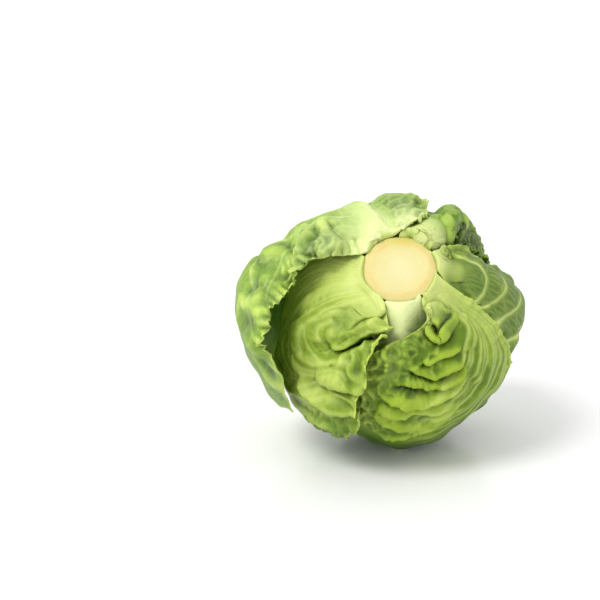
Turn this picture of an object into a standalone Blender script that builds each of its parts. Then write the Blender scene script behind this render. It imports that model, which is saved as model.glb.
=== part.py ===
# A green cabbage lying on its side, with its cut stem raised towards -Y.
# Every leaf is a sheet laid over the leaves under it, from the packed inner head outwards.
# Places on the head are given as (polar, turn) in degrees: polar is measured from the stem's
# axis, and turn runs round it from +X (0) over the top (90) to -X (180) and the floor (270).

import math

import bpy
import bmesh
import numpy as np
from mathutils import Vector, noise
from mathutils.bvhtree import BVHTree

MM = 0.001

# Driving dimensions of the head and its cut stem.
HEAD_RADIUS = 75.0 * MM
HEAD_DETAIL = 3
FLAT_SIDES = [
    ((72, 50), 56.0 * MM), ((106, -28), 60.0 * MM), ((84, 100), 70.0 * MM), ((84, 168), 69.0 * MM),
    ((104, -66), 71.0 * MM),
]
FLAT_SIDE_BLEND = 2.5 * MM
STEM_RADIUS = 21.5 * MM
STEM_FOOT_RADIUS = 20.5 * MM
STEM_FOOT = 71.0 * MM
STEM_CUT = 77.5 * MM
STEM_EDGE = 1.2 * MM
STEM_SIDES = 40
STEM_RISE = 40.0
STEM_TURN = -2.5

# How leaves are made and laid.
BLADE = 1.3 * MM
BASE_REACH = 11.0 * MM
CLEARANCE = 0.7 * MM
STEM_GAP = 0.6 * MM
LIFT = 0.5 * MM
MOST_LIFTS = 30
DRAPE_PASSES = 10
FLAT_DEPTH = 1.2 * MM
REST_REACH = 20.5 * MM
RAY_START = 0.2

AXIS = np.array([
    math.sin(math.radians(STEM_TURN)) * math.cos(math.radians(STEM_RISE)),
    -math.cos(math.radians(STEM_TURN)) * math.cos(math.radians(STEM_RISE)),
    math.sin(math.radians(STEM_RISE)),
])
SIDE = np.array([math.cos(math.radians(STEM_TURN)), math.sin(math.radians(STEM_TURN)), 0.0])
OVER = np.cross(AXIS, SIDE)

# Each leaf, from the innermost outwards. lines are curves from its base to its tip, evenly
# spread from one margin to the other, and the middle one is its midrib. rib is the midrib's
# height at the base, frill the height of the margin's waves from base to tip, and pleat that of
# the folds between the side veins. swells are parts where the blade stands off: heights from base
# to tip, and where across the leaf, from -1 to 1, they start, are full, start to fall and end.
# scallop is the depth of the margin's lobes against half the width, crumple the height of
# crushed folds, and folds are ridges (or grooves, where the height is below zero) along paths:
# height, half width and places. All heights are in mm.
LEAVES = {
    "inner_leaf_left": dict(
        lines=[
            [(24, 180), (60, 152), (100, 142), (140, 132), (163, 110)],
            [(24, 215), (60, 212), (100, 210), (140, 208), (172, 205)],
            [(24, 250), (60, 274), (100, 284), (140, 292), (163, 300)],
        ],
        grid=(14, 12), base=0.0, rib=2.0, frill=[(0, 0.6), (1, 0.6)], pleat=0.6, veins=6, colour=(0.62, 0.74, 0.26),
    ),
    "inner_leaf_back": dict(
        lines=[
            [(24, 62), (60, 34), (100, 20), (130, 2), (150, -26)],
            [(24, 96), (60, 94), (100, 92), (150, 90), (202, 90)],
            [(24, 130), (60, 150), (100, 160), (130, 180), (150, 208)],
        ],
        grid=(16, 14), base=0.0, rib=2.0, frill=[(0, 1), (1, 1)], pleat=0.8, veins=7, colour=(0.58, 0.72, 0.24),
    ),
    "front_rib_leaf": dict(
        lines=[
            [(17, 253), (35, 226), (65, 208), (100, 200), (134, 212)],
            [(16.5, 275), (40, 272), (75, 270), (110, 270), (152, 270)],
            [(17, 299), (35, 324), (65, 342), (100, 348), (134, 334)],
        ],
        grid=(18, 16), rib=5.0, frill=[(0, 1), (1, 2.4)], pleat=1.0, veins=7, colour=(0.48, 0.66, 0.16),
        scallop=0.02,
        swells=[([(0, 0), (0.5, 0.5), (0.68, 3), (0.85, 4.5), (1, 3)], (-1.6, -0.5, 0.5, 1.6))],
    ),
    "right_leaf": dict(
        lines=[
            [(16.2, -4), (31, -24), (48, -30), (66, -34), (84, -40), (112, -46), (134, -48)],
            [(15.8, 8), (31, 3), (48, 0), (66, -3), (84, -6), (112, -10), (140, -14)],
            [(15.5, 28), (23, 31), (34, 30), (50, 29), (79, 29), (110, 24), (134, 16)],
        ],
        grid=(20, 16), rib=2.0, frill=[(0, 2), (0.3, 1), (1, 1)], pleat=1.8, veins=8, colour=(0.46, 0.62, 0.18),
        swells=[([(0, 0), (0.3, 2), (0.6, 3.5), (1, 1.5)], (-0.4, 0.1, 0.3, 0.9))],
    ),
    "front_right_leaf": dict(
        lines=[
            [(18.5, 303), (27, 293), (36, 264), (46, 249), (62, 247), (80, 248), (98, 254)],
            [(17, 314), (29, 303), (41, 284), (54, 272), (70, 266), (89, 267), (107, 270)],
            [(16.2, 326), (29, 316), (44, 300), (57, 293), (73, 290), (91, 288), (109, 288)],
            [(16, 339), (30, 328), (46, 318), (61, 312), (77, 309), (94, 307), (111, 307)],
            [(16, 351), (31.5, 341), (48, 337), (62, 334.5), (76, 331), (92, 327), (108, 323)],
        ],
        grid=(28, 28), rib=0.0, frill=[(0, 1), (1, 2)], pleat=0.4, veins=8, colour=(0.56, 0.72, 0.18),
        swells=[
            ([(0, 0), (0.2, 2), (0.5, 3), (0.8, 2.5), (1, 1)], (-1.6, -0.5, 0.5, 1.6)),
            ([(0.07, 0), (0.2, 4), (0.5, 5), (0.7, 2), (0.8, 0)], (-1.3, -1.2, 0.1, 0.7)),
        ],
        folds=[
            (3.0, 5.0, [(28, 299), (30, 309), (36, 311), (37, 300), (33, 296)]),
            (2.4, 3.0, [(38, 291), (43, 300), (44.5, 307), (44.6, 313)]),
            (3.0, 3.2, [(38, 271), (42, 276), (45, 283), (48, 292), (50, 300), (50, 308), (45.6, 314),
                        (40, 321)]),
            (2.2, 3.2, [(51, 270), (53, 278), (55.4, 286)]),
            (2.4, 3.2, [(60.4, 285), (58.6, 294), (57.6, 301), (53.7, 305), (49.7, 310)]),
            (3.0, 3.4, [(70, 278), (67, 284), (67, 292), (65, 301), (62, 308), (57.5, 315), (50, 321),
                        (43.5, 325)]),
            (2.0, 3.4, [(62, 259), (66, 267), (70, 273), (73, 280)]),
            (2.0, 3.4, [(69, 260), (75, 263), (80, 268), (87, 272)]),
            (-3.6, 3.0, [(36, 306), (40, 306)]),
            (-3.6, 3.2, [(43, 294), (46, 303)]),
            (-3.6, 3.2, [(52.6, 284), (53, 292), (53.3, 300)]),
            (-3.0, 3.2, [(64.7, 292), (63.3, 296), (60.6, 302)]),
            (-3.0, 3.2, [(60, 271), (62, 276)]),
        ],
    ),
    "front_left_leaf": dict(
        lines=[
            [(16.5, 163), (35, 150), (65, 148), (100, 158), (130, 182)],
            [(16.5, 203), (33, 197), (58, 198), (86, 204), (116, 216)],
            [(17.5, 249), (27, 263), (33, 266), (39, 260), (48, 255.5), (56, 255), (65, 256.5), (80, 252),
             (98, 243)],
        ],
        grid=(28, 26), rib=2.0, frill=[(0, 1), (1, 2)], pleat=0.4, veins=8, colour=(0.60, 0.74, 0.22),
        swells=[
            ([(0, 0), (0.2, 2), (0.5, 3), (0.8, 3), (1, 1.5)], (-1.6, -0.5, 0.5, 1.6)),
            ([(0.55, 0), (0.75, 3.5), (0.9, 5), (1, 3)], (0.1, 0.6, 1.2, 1.3)),
            ([(0.08, 0), (0.25, 4), (0.65, 5), (0.85, 2), (0.95, 0)], (-0.3, 0.4, 1.2, 1.3)),
        ],
        folds=[
            (3.2, 5.0, [(54, 208), (40, 212), (27, 222), (20, 244)]),
            (-5.0, 2.6, [(35, 232), (30, 238), (26.5, 248), (23, 254)]),
            (2.6, 3.6, [(41, 232), (35, 240), (30, 250), (28, 258)]),
            (-5.0, 2.8, [(45, 223), (46, 229), (45, 234), (43, 240), (39, 245), (36, 250), (33, 258)]),
            (2.4, 3.6, [(58, 214), (55, 222), (52, 231), (48, 240), (42, 250)]),
            (2.0, 3.2, [(64, 219), (62, 226), (58, 232), (54, 240), (49, 247)]),
            (-4.6, 2.6, [(63, 231), (62, 236), (61, 241), (59, 246), (54, 250)]),
            (2.0, 3.2, [(66, 226), (66, 233), (66, 240), (63, 247)]),
            (-5.0, 3.0, [(75, 229), (71, 234), (70, 239), (69, 245), (65, 251)]),
            (2.8, 4.6, [(96, 211), (92, 219), (83, 229), (77, 239), (75, 248)]),
        ],
    ),
    "crumpled_leaf": dict(
        lines=[
            [(15.4, 34), (22, 42), (27, 43), (33, 40), (46, 38), (72, 37), (104, 40)],
            [(14.8, 60), (24, 55), (45, 56), (80, 58), (124, 62)],
            [(16, 83), (45, 98), (80, 102), (118, 98)],
        ],
        grid=(24, 20), rib=6.5, frill=[(0, 1), (0.4, 2), (1, 2)], pleat=1.0, veins=9, colour=(0.36, 0.54, 0.14),
        scallop=0.03, crumple=4.0,
        swells=[([(0.15, 0), (0.35, 7), (0.6, 17), (0.8, 13), (1, 3)], (-0.6, 0.05, 0.08, 0.5))],
    ),
    "top_leaf": dict(
        lines=[
            [(16, 86), (20, 74), (27, 64), (38, 66), (58, 73), (90, 80), (122, 92)],
            [(16, 126), (30, 119), (54, 124), (90, 138), (132, 156)],
            [(16, 155), (24, 171), (38, 176), (49, 188), (55, 201), (70, 213), (102, 221)],
        ],
        grid=(26, 22), rib=4.5, frill=[(0, 2), (0.3, 3.5), (0.5, 4.5), (1, 4)], pleat=1.6, veins=9, colour=(0.56, 0.72, 0.22),
        scallop=0.025,
        swells=[
            ([(0, 0), (0.12, 4), (0.25, 12), (0.4, 14), (0.52, 7), (0.6, 0)], (-0.2, 0.8, 0.82, 1.3)),
            ([(0.38, 0), (0.5, 6), (0.58, 14), (0.65, 18), (0.74, 17), (0.82, 4), (0.9, 0)], (0.5, 0.72, 0.9, 1.3)),
            ([(0, 0), (0.3, 2), (0.6, 9), (0.8, 11), (1, 4)], (-0.2, 0.4, 0.6, 1.3)),
        ],
    ),
}

RIB_WIDTH_BASE = 12.0 * MM
RIB_WIDTH_TIP = 3.5 * MM
FRILL_WAVE = 21.0 * MM
FRILL_REACH = 11.0 * MM
CRUMPLE_SIZE = 17.0 * MM
VEIN_SWEEP = 0.34


def direction(polar, turn):
    """The unit vector from the head's centre to a place given in degrees."""
    a, b = np.radians(polar), np.radians(turn)
    across = np.multiply.outer(np.cos(b), SIDE) + np.multiply.outer(np.sin(b), OVER)
    return np.multiply.outer(np.cos(a), AXIS) + np.sin(a)[..., None] * across


def unit(vectors):
    return vectors / np.linalg.norm(vectors, axis=-1, keepdims=True)


def bend_through(points, share):
    """Points on a smooth curve through the first axis of points, at shares of its length."""
    ends = (2 * points[:1] - points[1:2], points, 2 * points[-1:] - points[-2:-1])
    points = np.concatenate(ends)
    at = np.clip(share, 0, 1) * (len(points) - 3)
    i = np.minimum(at.astype(int), len(points) - 4)
    t = (at - i).reshape([-1] + [1] * (points.ndim - 1))
    a, b, c, d = points[i], points[i + 1], points[i + 2], points[i + 3]
    return (2 * b + (c - a) * t + (2 * a - 5 * b + 4 * c - d) * t ** 2 + (3 * b - 3 * c + d - a) * t ** 3) / 2


def curve_on_head(places, share):
    """Unit vectors along a smooth curve through places on the head."""
    places = np.array(places, float)
    return unit(bend_through(direction(places[:, 0], places[:, 1]), share))


def vein_phase(leaf, u, v):
    """Counts the side veins from base to tip: each is swept forward from the midrib to the margin."""
    return leaf["veins"] * (u - VEIN_SWEEP * np.abs(v) ** 1.4)


def sheet_directions(leaf, along, across):
    """Directions of a grid of the leaf: along from base to tip, across from margin to margin.

    Both margins can be scalloped, with a lobe where each fold between two side veins ends.
    """
    lines = np.array([curve_on_head(line, along) for line in leaf["lines"]])
    ways = bend_through(lines, (across + 1) / 2).transpose(1, 0, 2)
    u, v = np.meshgrid(along, across, indexing="ij")
    lobes = -leaf.get("scallop", 0) * np.cos(2 * np.pi * vein_phase(leaf, u, v)) * v ** 5 * smooth_step(u / 0.3)
    return unit(ways + lobes[..., None] * np.gradient(ways, across, axis=1))


def surface_under(trees, directions):
    """How far from the head's centre the outermost thing laid so far is, in each direction."""
    flat = directions.reshape(-1, 3)
    found = np.zeros(len(flat))
    for i, way in enumerate(flat):
        ray = Vector(-way)
        start = Vector(way * RAY_START)
        for tree in trees:
            hit = tree.ray_cast(start, ray)
            if hit[0] is not None:
                found[i] = max(found[i], RAY_START - hit[3])
    return found.reshape(directions.shape[:-1])


def highest_near(fine, step):
    """The highest value of a fine grid at and beside each coarse point."""
    rows, columns = fine.shape[0], fine.shape[1]
    padded = np.pad(fine, 1, mode="edge")
    windows = [padded[i:i + rows:step, j:j + columns:step] for i in range(3) for j in range(3)]
    return np.max(windows, axis=0)


def neighbours_mean(grid):
    """The mean of each grid point's four neighbours, where a margin goes on as it runs."""
    padded = np.pad(grid, [(1, 1), (1, 1)] + [(0, 0)] * (grid.ndim - 2), mode="reflect", reflect_type="odd")
    return (padded[:-2, 1:-1] + padded[2:, 1:-1] + padded[1:-1, :-2] + padded[1:-1, 2:]) / 4


def drape(ways, lowest, passes):
    """How far out a sheet is that is pulled taut over the lowest places that it may have."""
    radius = lowest.copy()
    for _ in range(passes):
        between = neighbours_mean(ways * radius[..., None])
        radius = np.maximum((between * ways).sum(-1), lowest)
    return radius


def grid_normals(points):
    along = np.gradient(points, axis=0)
    across = np.gradient(points, axis=1)
    normals = unit(np.cross(across, along))
    return normals * np.sign((normals * points).sum(-1, keepdims=True))


def margin_of(points):
    """Each grid point's distance to the leaf's free edge, and how far along that edge it is nearest to."""
    edge = np.concatenate([points[:, 0], points[-1, 1:], points[-2::-1, -1]])
    steps = np.linalg.norm(np.diff(edge, axis=0), axis=1)
    run = np.concatenate([[0], np.cumsum(steps)])
    fine = np.linspace(0, run[-1], 400)
    edge = np.stack([np.interp(fine, run, edge[:, k]) for k in range(3)], -1)
    apart = np.linalg.norm(points[:, :, None] - edge, axis=-1)
    nearest = apart.argmin(-1)
    return apart.min(-1), fine[nearest]


def noise_at(points, size, seed):
    shift = Vector((seed * 7.31, seed * 3.17, seed * 5.53))
    flat = [noise.noise(Vector(p) + shift) for p in points.reshape(-1, 3) / size]
    return np.array(flat).reshape(points.shape[:-1])


def profile(pairs, share):
    return np.interp(share, [p[0] for p in pairs], [p[1] for p in pairs]) * MM


def smooth_step(x):
    x = np.clip(x, 0, 1)
    return x * x * (3 - 2 * x)


def folded(leaf, ways):
    """The height that the leaf's own folds give it, from how near each point is to their paths."""
    height = np.zeros(ways.shape[:-1])
    for most, half_width, places in leaf.get("folds", []):
        path = curve_on_head(places, np.linspace(0, 1, 24))
        off = np.linalg.norm(ways[:, :, None] - path, axis=-1).min(-1) * HEAD_RADIUS / MM
        height += most * np.exp(-(off / half_width) ** 2)
    return height * MM


def relief(leaf, seed, ways, points, along, across):
    """How far the leaf's sheet stands off its resting surface: folds, frills and flared margins."""
    u, v = np.meshgrid(along, across, indexing="ij")
    to_edge, edge_run = margin_of(points)
    near_edge = np.exp(-to_edge / FRILL_REACH)
    base_fade = smooth_step(u / 0.12)
    fold = (0.5 - 0.5 * np.cos(2 * np.pi * vein_phase(leaf, u, v))) * smooth_step(np.abs(v) / 0.3)
    height = leaf["pleat"] * MM * fold
    wobble = 0.35 * noise_at(points, 30 * MM, seed)
    wave = 0.5 + 0.5 * np.sin(2 * np.pi * (edge_run / FRILL_WAVE + wobble))
    height += profile(leaf["frill"], u) * wave * near_edge * smooth_step(u / 0.3)
    for heights, (start, rise, fall, end) in leaf.get("swells", []):
        height += profile(heights, u) * smooth_step((v - start) / (rise - start)) * smooth_step(
            (end - v) / (end - fall))
    if "crumple" in leaf:
        crushed = np.abs(noise_at(points, CRUMPLE_SIZE, seed + 11))
        height += leaf["crumple"] * MM * 2 * crushed * smooth_step((0.5 - v) / 0.6) * (
            1 - 0.65 * smooth_step((-0.5 - v) / 0.5))
    return np.maximum((height + folded(leaf, ways)) * base_fade, 0)


def rib_thickness(leaf, along, across, points):
    """The leaf's thickness: a blade, with the midrib raised on its outer side."""
    middle = len(across) // 2
    off_rib = np.linalg.norm(points - points[:, middle:middle + 1], axis=-1)
    u = along[:, None]
    width = RIB_WIDTH_BASE * (1 - u) + RIB_WIDTH_TIP * u
    height = leaf["rib"] * MM * (1 - 0.8 * u)
    from_base = np.linalg.norm(points - points[:1], axis=-1)
    base = leaf.get("base", 1.6) * MM * np.exp(-(from_base / BASE_REACH) ** 2) * (1 - 0.8 * across ** 2)
    return BLADE + base + height * np.exp(-(off_rib / width) ** 2)


def keep_off_stem(points):
    """Moves what is too near the stem's axis straight out from it."""
    up = (points @ AXIS)[..., None] * AXIS
    out = points - up
    far = np.linalg.norm(out, axis=-1, keepdims=True)
    return up + out * np.maximum(1, (STEM_RADIUS + STEM_GAP) / far)


def sheet_object(name, points, thickness):
    """A closed leaf: a grid with its points placed, split into triangles and given its thickness."""
    rows, columns = points.shape[:2]
    shape = bmesh.new()
    bmesh.ops.create_grid(shape, x_segments=columns - 1, y_segments=rows - 1, size=1)
    shape.verts.ensure_lookup_table()
    for vert, place in zip(shape.verts, points.reshape(-1, 3)):
        vert.co = place
    bmesh.ops.triangulate(shape, faces=shape.faces[:])
    shape.normal_update()
    middle = shape.verts[(rows // 2) * columns + columns // 2]
    if middle.normal.dot(middle.co) < 0:
        bmesh.ops.reverse_faces(shape, faces=shape.faces[:])
    mesh = bpy.data.meshes.new(name)
    shape.to_mesh(mesh)
    shape.free()
    sheet = bpy.data.objects.new(name, mesh)
    bpy.context.scene.collection.objects.link(sheet)
    most = float(thickness.max())
    least = float(thickness.min())
    group = sheet.vertex_groups.new(name="thick")
    for i, t in enumerate(thickness.ravel()):
        group.add([i], (float(t) - least) / max(most - least, 1e-9), "REPLACE")
    solidify = sheet.modifiers.new("Solidify", "SOLIDIFY")
    solidify.thickness = most
    solidify.offset = 1
    solidify.vertex_group = group.name
    solidify.thickness_vertex_group = least / most
    applied = evaluated_mesh(sheet)
    sheet.modifiers.clear()
    sheet.vertex_groups.clear()
    sheet.data = applied
    bpy.data.meshes.remove(mesh)
    return sheet


def evaluated_mesh(thing):
    graph = bpy.context.evaluated_depsgraph_get()
    return bpy.data.meshes.new_from_object(thing.evaluated_get(graph))


def tree_of(thing):
    mesh = thing.data
    return BVHTree.FromPolygons([v.co for v in mesh.vertices], [p.vertices for p in mesh.polygons])


def lay_leaf(name, leaf, seed, trees):
    """Lays one leaf over what is there, and lifts it wherever it still cuts what lies under it."""
    rows, columns = leaf["grid"]
    along, across = np.linspace(0, 1, rows + 1), np.linspace(-1, 1, columns + 1)
    fine = 3
    under = surface_under(trees, sheet_directions(
        leaf, np.linspace(0, 1, rows * fine + 1), np.linspace(-1, 1, columns * fine + 1)))
    lowest = highest_near(under, fine) + CLEARANCE
    ways = sheet_directions(leaf, along, across)
    radius = drape(ways, lowest, DRAPE_PASSES)
    resting = ways * radius[..., None]
    height = relief(leaf, seed, ways, resting, along, across)
    thickness = rib_thickness(leaf, along, across, resting)
    normals = grid_normals(resting)
    count = (rows + 1) * (columns + 1)
    lifted = np.zeros(height.shape)
    for _ in range(MOST_LIFTS):
        points = resting + normals * height[..., None] + ways * lifted[..., None]
        sheet = sheet_object(name, keep_off_stem(points), thickness)
        faces = {a for tree in trees for a, _ in tree_of(sheet).overlap(tree)}
        touching = {v % count for f in faces for v in sheet.data.polygons[f].vertices}
        if not touching:
            return sheet
        more = np.zeros(height.shape)
        more.flat[list(touching)] = LIFT
        around = np.pad(more, 1)
        around = np.max([around[:-2, 1:-1], around[2:, 1:-1], around[1:-1, :-2], around[1:-1, 2:]], axis=0)
        lifted += np.maximum(more, around / 2)
        bpy.data.objects.remove(sheet)
    raise RuntimeError(name + " still cuts what lies under it")


def ball(name, radius):
    shape = bmesh.new()
    bmesh.ops.create_icosphere(shape, subdivisions=HEAD_DETAIL, radius=radius)
    mesh = bpy.data.meshes.new(name)
    shape.to_mesh(mesh)
    shape.free()
    thing = bpy.data.objects.new(name, mesh)
    bpy.context.scene.collection.objects.link(thing)
    return thing


def head_radius(way):
    """The packed head's radius in a direction: a ball with a few flatter sides."""
    reaches = [HEAD_RADIUS]
    for place, out in FLAT_SIDES:
        facing = way.dot(Vector(direction(*place)))
        if facing > 0.05:
            reaches.append(out / facing)
    least = min(reaches)
    together = sum(math.exp((least - reach) / FLAT_SIDE_BLEND) for reach in reaches)
    return least - FLAT_SIDE_BLEND * math.log(together)


def make_inner_head():
    """The packed heart leaves, with the edges of the leaves that wrap it raised in steps."""
    head = ball("inner_head", HEAD_RADIUS)
    wraps, step = 3, 1.4 * MM
    seat = STEM_FOOT - 0.4 * MM
    for vert in head.data.vertices:
        way = vert.co.normalized()
        up = way.dot(Vector(AXIS))
        turn = math.atan2(way.dot(Vector(OVER)), way.dot(Vector(SIDE))) / (2 * math.pi)
        swirl = (wraps * turn + 0.6 * up) % 1.0
        fade = math.sin(math.acos(max(-1.0, min(1.0, up))))
        place = way * (head_radius(way) - step * swirl * fade)
        above = place.dot(Vector(AXIS)) - seat
        if above > 0:
            place -= Vector(AXIS) * above
        vert.co = place
    return head


def make_stem():
    """The cut stump: a short tapered cylinder with a narrow bevel round its cut face."""
    shape = bmesh.new()
    height = STEM_CUT - STEM_FOOT
    bmesh.ops.create_cone(
        shape, cap_ends=True, segments=STEM_SIDES, radius1=STEM_FOOT_RADIUS, radius2=STEM_RADIUS,
        depth=height)
    rim = [e for e in shape.edges if all(v.co.z > 0 for v in e.verts)]
    bmesh.ops.bevel(shape, geom=rim, offset=STEM_EDGE, segments=2, profile=0.5, affect="EDGES", material=-1)
    turn = Vector((0, 0, 1)).rotation_difference(Vector(AXIS)).to_matrix()
    middle = Vector(AXIS) * (STEM_FOOT + height / 2)
    for vert in shape.verts:
        vert.co = turn @ vert.co + middle
    mesh = bpy.data.meshes.new("stem")
    shape.to_mesh(mesh)
    shape.free()
    stem = bpy.data.objects.new("stem", mesh)
    bpy.context.scene.collection.objects.link(stem)
    return stem


def paint(thing, colour, roughness):
    material = bpy.data.materials.new(thing.name)
    material.use_nodes = True
    shader = material.node_tree.nodes["Principled BSDF"]
    shader.inputs["Base Color"].default_value = (*colour, 1)
    shader.inputs["Roughness"].default_value = roughness
    shader.inputs["Metallic"].default_value = 0
    thing.data.materials.clear()
    thing.data.materials.append(material)


def set_on_floor(things, lowest):
    """Flattens the lowest leaf where it rests, and puts the origin on the floor under the head."""
    floor = min(v.co.z for t in things for v in t.data.vertices) + FLAT_DEPTH
    for thing in things:
        for vert in thing.data.vertices:
            vert.co.z = max(vert.co.z, floor) - floor
    outer_half = lowest.data.vertices[:len(lowest.data.vertices) // 2]
    for vert in outer_half:
        if math.hypot(vert.co.x, vert.co.y) < REST_REACH and vert.co.z < REST_REACH:
            vert.co.z = 0


def main():
    for thing in list(bpy.data.objects):
        bpy.data.objects.remove(thing)
    head, stem = make_inner_head(), make_stem()
    paint(head, (0.66, 0.76, 0.34), 0.5)
    paint(stem, (0.86, 0.78, 0.50), 0.6)
    things = [head, stem]
    for seed, (name, leaf) in enumerate(LEAVES.items()):
        laid = lay_leaf(name, leaf, seed + 1, [tree_of(t) for t in things])
        paint(laid, leaf["colour"], 0.45)
        things.append(laid)
    set_on_floor(things, bpy.data.objects["front_rib_leaf"])


main()
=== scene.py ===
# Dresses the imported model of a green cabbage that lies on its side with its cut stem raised.
import math

import bpy
import bmesh
import numpy as np
from mathutils import Matrix, Vector, kdtree, noise
from mathutils.bvhtree import BVHTree


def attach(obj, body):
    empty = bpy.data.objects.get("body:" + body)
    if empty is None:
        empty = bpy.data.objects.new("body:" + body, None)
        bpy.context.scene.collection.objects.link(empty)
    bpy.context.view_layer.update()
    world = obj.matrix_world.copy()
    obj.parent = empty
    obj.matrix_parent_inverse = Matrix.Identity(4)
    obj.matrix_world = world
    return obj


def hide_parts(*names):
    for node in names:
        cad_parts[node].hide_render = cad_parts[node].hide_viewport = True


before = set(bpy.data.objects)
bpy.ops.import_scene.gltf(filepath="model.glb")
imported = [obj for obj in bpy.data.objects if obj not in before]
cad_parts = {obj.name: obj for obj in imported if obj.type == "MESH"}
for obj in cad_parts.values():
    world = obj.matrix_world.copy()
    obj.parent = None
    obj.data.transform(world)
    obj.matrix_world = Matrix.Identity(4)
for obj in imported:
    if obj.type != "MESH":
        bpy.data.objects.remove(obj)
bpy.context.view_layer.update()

mm = 0.001
detail = 1.0

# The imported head. Its stem rises towards the viewer. A place on it is (polar, turn) in degrees:
# polar is measured from the stem's axis, and turn runs round it from +X (0) over the top (90)
# to -X (180) and the floor (270).
headBuild = dict(
    centre=(0.0, 0.0, 82.43), radius=75.0, stemRise=40.0, stemTurn=-2.5,
    flatSides=[
        ((72, 50), 56.0), ((106, -28), 60.0), ((84, 100), 70.0), ((84, 168), 69.0),
        ((104, -66), 71.0)],
    flatSideBlend=2.5,
)
# How every leaf is laid, in mm.
leafBuild = dict(
    blade=0.85, baseThick=1.9, baseReach=12.0, clearance=0.5, stemGap=0.12, layGap=0.15,
    drapePasses=10, ribWidthBase=10.5, ribWidthTip=2.4, veinSweep=0.34, settleRounds=3,
    shoulderPasses=14,
)
# The relief of every leaf, in mm: heights, widths and how far apart its waves are.
relief = dict(
    veinHigh=0.9, veinWide=1.5, veinTaper=0.8, stepVeins=9, stepVeinHigh=0.28, stepVeinWide=0.7,
    frillWave=21.0, frillReach=11.0, ruffles=[(1, 7.3, 1.3, 4.5), (0.6, 3.4, 2.7, 2.2)],
    crumpleSize=17.0, creaseSize=9, wanderSize=13, fineWanderSize=6, unevenSize=15,
    foldPoints=48, lipPoints=64, arcPoints=160, arcGap=2.4, hollowDeep=1.6, rimWide=1.1,
    shadeSoft=(0.15, 0.15, 0.12, 0.12), paleAndLitSoft=(0.25, 0.25, 0.15, 0.15),
    crushedSoft=(0.12, 0.2, 0.08, 0.08),
)
# What a leaf has where its own dictionary says nothing. In it u runs from 0 at the leaf's base to
# 1 at its tip, and v from -1 to 1 across it. Paths on the head are places as above.
# swells: heights along u, then where they start, are full, fall and end in v.
# folds: high, half width, path. cups: high, reach, place.
# lips: high, width, depth and width of the slit, overhang, soft ends, path.
# shade, painted shade, and the pale patches, partly painted light: amount, range of v, range of u.
# crushed: high, size, seed, the same two ranges.
plainLeaf = dict(
    base=leafBuild["baseThick"], baseFade=16, ribTo=2, veins=8, veinShow=1, scallop=0, pleat=0.0,
    blister=0.6, blisters=None, crumple=0.0, wrinkle=0.0, frill=[(0, 1), (1, 1)], calmRight=0,
    ruffle=0.5, ruffleFrom=0.1, ruffleTo=2, curl=None, radial=0, deepest=2.2, wander=0.0,
    uneven=0.5, swells=[], folds=[], lips=[], cups=[], crushed=[], crushedCrestLight=0.2, shade=[],
    paleAndLitPatches=[], arcs=None, arcPaths=[], arcHigh=0.45, arcBulge=0.7, arcWide=0.75, arcPale=0.6,
)

headCentre = np.array(headBuild["centre"]) * mm
headRadius = headBuild["radius"] * mm
rise, turned = math.radians(headBuild["stemRise"]), math.radians(headBuild["stemTurn"])
stemAxis = np.array([
    math.sin(turned) * math.cos(rise), -math.cos(turned) * math.cos(rise), math.sin(rise)])
sideAxis = np.array([math.cos(turned), math.sin(turned), 0.0])
overAxis = np.cross(stemAxis, sideAxis)
laidTrees = []


def direction(polar, turn):
    # The unit vector from the head's centre to a place in degrees.
    a, b = np.radians(polar), np.radians(turn)
    across = np.multiply.outer(np.cos(b), sideAxis) + np.multiply.outer(np.sin(b), overAxis)
    return np.multiply.outer(np.cos(a), stemAxis) + np.sin(a)[..., None] * across


def unit(vectors):
    return vectors / np.maximum(np.linalg.norm(vectors, axis=-1, keepdims=True), 1e-12)


def smoothStep(x):
    x = np.clip(x, 0, 1)
    return x * x * (3 - 2 * x)


def profile(pairs, share):
    # A size in mm that changes along a leaf, from pairs of share and size.
    return np.interp(share, [p[0] for p in pairs], [p[1] for p in pairs]) * mm


def bendThrough(points, share):
    # Points on a smooth curve through the first axis of points, at shares of its length.
    points = np.concatenate((2 * points[:1] - points[1:2], points, 2 * points[-1:] - points[-2:-1]))
    at = np.clip(share, 0, 1) * (len(points) - 3)
    i = np.minimum(at.astype(int), len(points) - 4)
    t = (at - i).reshape([-1] + [1] * (points.ndim - 1))
    a, b, c, d = points[i], points[i + 1], points[i + 2], points[i + 3]
    return (2 * b + (c - a) * t + (2 * a - 5 * b + 4 * c - d) * t ** 2
            + (3 * b - 3 * c + d - a) * t ** 3) / 2


def spreadOut(grid, along, across):
    # A coarse grid's values at every crossing of along (0 to 1) and across (-1 to 1).
    rows = bendThrough(grid, along)
    return bendThrough(rows.swapaxes(0, 1), (across + 1) / 2).swapaxes(0, 1)


def curveOnHead(places, share):
    places = np.array(places, float)
    return unit(bendThrough(direction(places[:, 0], places[:, 1]), share))


def veinPhase(leaf, u, v):
    # Counts the side veins from base to tip: each is swept forward from the midrib.
    return leaf["veins"] * (u - leafBuild["veinSweep"] * np.abs(v) ** 1.4)


def sheetDirections(leaf, along, across):
    # Directions of a grid of the leaf, with its margins scalloped between its side veins.
    lines = np.array([curveOnHead(line, along) for line in leaf["lines"]])
    ways = bendThrough(lines, (across + 1) / 2).transpose(1, 0, 2)
    u, v = np.meshgrid(along, across, indexing="ij")
    lobes = -leaf["scallop"] * np.cos(2 * np.pi * veinPhase(leaf, u, v)) * v ** 5
    lobes = lobes * smoothStep(u / 0.3)
    return unit(ways + lobes[..., None] * np.gradient(ways, across, axis=1))


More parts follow.
